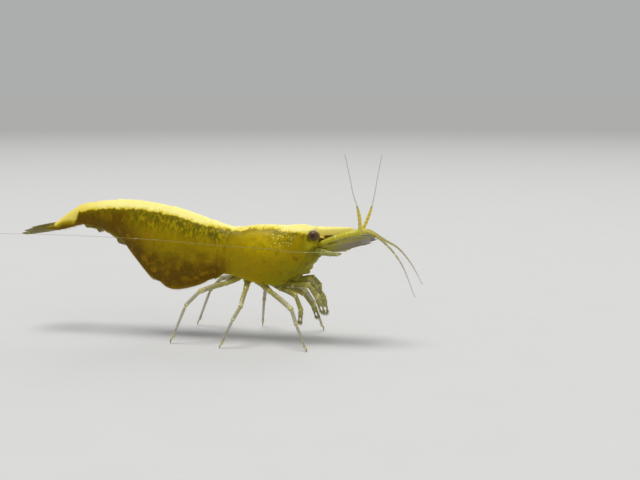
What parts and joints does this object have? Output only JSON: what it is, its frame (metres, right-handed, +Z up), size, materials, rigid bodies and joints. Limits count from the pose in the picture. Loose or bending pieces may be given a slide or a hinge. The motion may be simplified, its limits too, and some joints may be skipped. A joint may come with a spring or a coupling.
{
  "type": "aquarium shrimp",
  "caption": "Life-size dwarf freshwater shrimp standing on its walking legs, golden along the back, with long feelers and a fanned tail.",
  "frame": {"origin": "bottom centre of the whole model's box, on the ground under its feet", "axes": "+X towards the head, +Y to the animal's left, +Z up"},
  "size_m": [0.039, 0.0096, 0.0148],
  "materials": {
    "shell": "clear horny shell over olive-yellow flesh, with a pale yellow band along the back",
    "beak": "cream-yellow horn",
    "flesh": "olive-yellow flesh under thin clear skin",
    "limb": "clear, faintly yellow, with pale flecks at the joints",
    "fan": "thin clear olive blades with paler tips",
    "eye": "dark brown, wet and glossy",
    "feeler": "pale, ringed, nearly clear"
  },
  "bodies": {
    "root": {"tail_ring_1": "shell", "tail_ring_2": "shell", "tail_ring_3": "shell", "tail_ring_4": "shell", "tail_ring_5": "shell", "tail_ring_6": "shell", "head_shield": "shell", "tail_spine": "shell", "beak": "beak", "chest_underside": "flesh", "mouthparts": "flesh", "leg_1_left": "limb", "leg_2_left": "limb", "leg_3_left": "limb", "leg_4_left": "limb", "leg_5_left": "limb", "mouth_leg_left": "limb", "swimmeret_1_left": "limb", "swimmeret_2_left": "limb", "swimmeret_3_left": "limb", "swimmeret_4_left": "limb", "swimmeret_5_left": "limb", "fan_inner_left": "fan", "fan_outer_left": "fan", "feeler_scale_left": "fan", "eye_left": "eye", "eyestalk_left": "flesh", "first_feeler_stem_left": "limb", "second_feeler_stem_left": "limb", "first_feeler_up_left": "feeler", "first_feeler_forward_left": "feeler", "second_feeler_root_left": "feeler", "second_feeler_tip_left": "feeler", "leg_1_right": "limb", "leg_2_right": "limb", "leg_3_right": "limb", "leg_4_right": "limb", "leg_5_right": "limb", "mouth_leg_right": "limb", "swimmeret_1_right": "limb", "swimmeret_2_right": "limb", "swimmeret_3_right": "limb", "swimmeret_4_right": "limb", "swimmeret_5_right": "limb", "fan_inner_right": "fan", "fan_outer_right": "fan", "feeler_scale_right": "fan", "eye_right": "eye", "eyestalk_right": "flesh", "first_feeler_stem_right": "limb", "second_feeler_stem_right": "limb", "first_feeler_up_right": "feeler", "first_feeler_forward_right": "feeler", "second_feeler_root_right": "feeler", "second_feeler_tip_right": "feeler"}
  },
  "joints": []
}
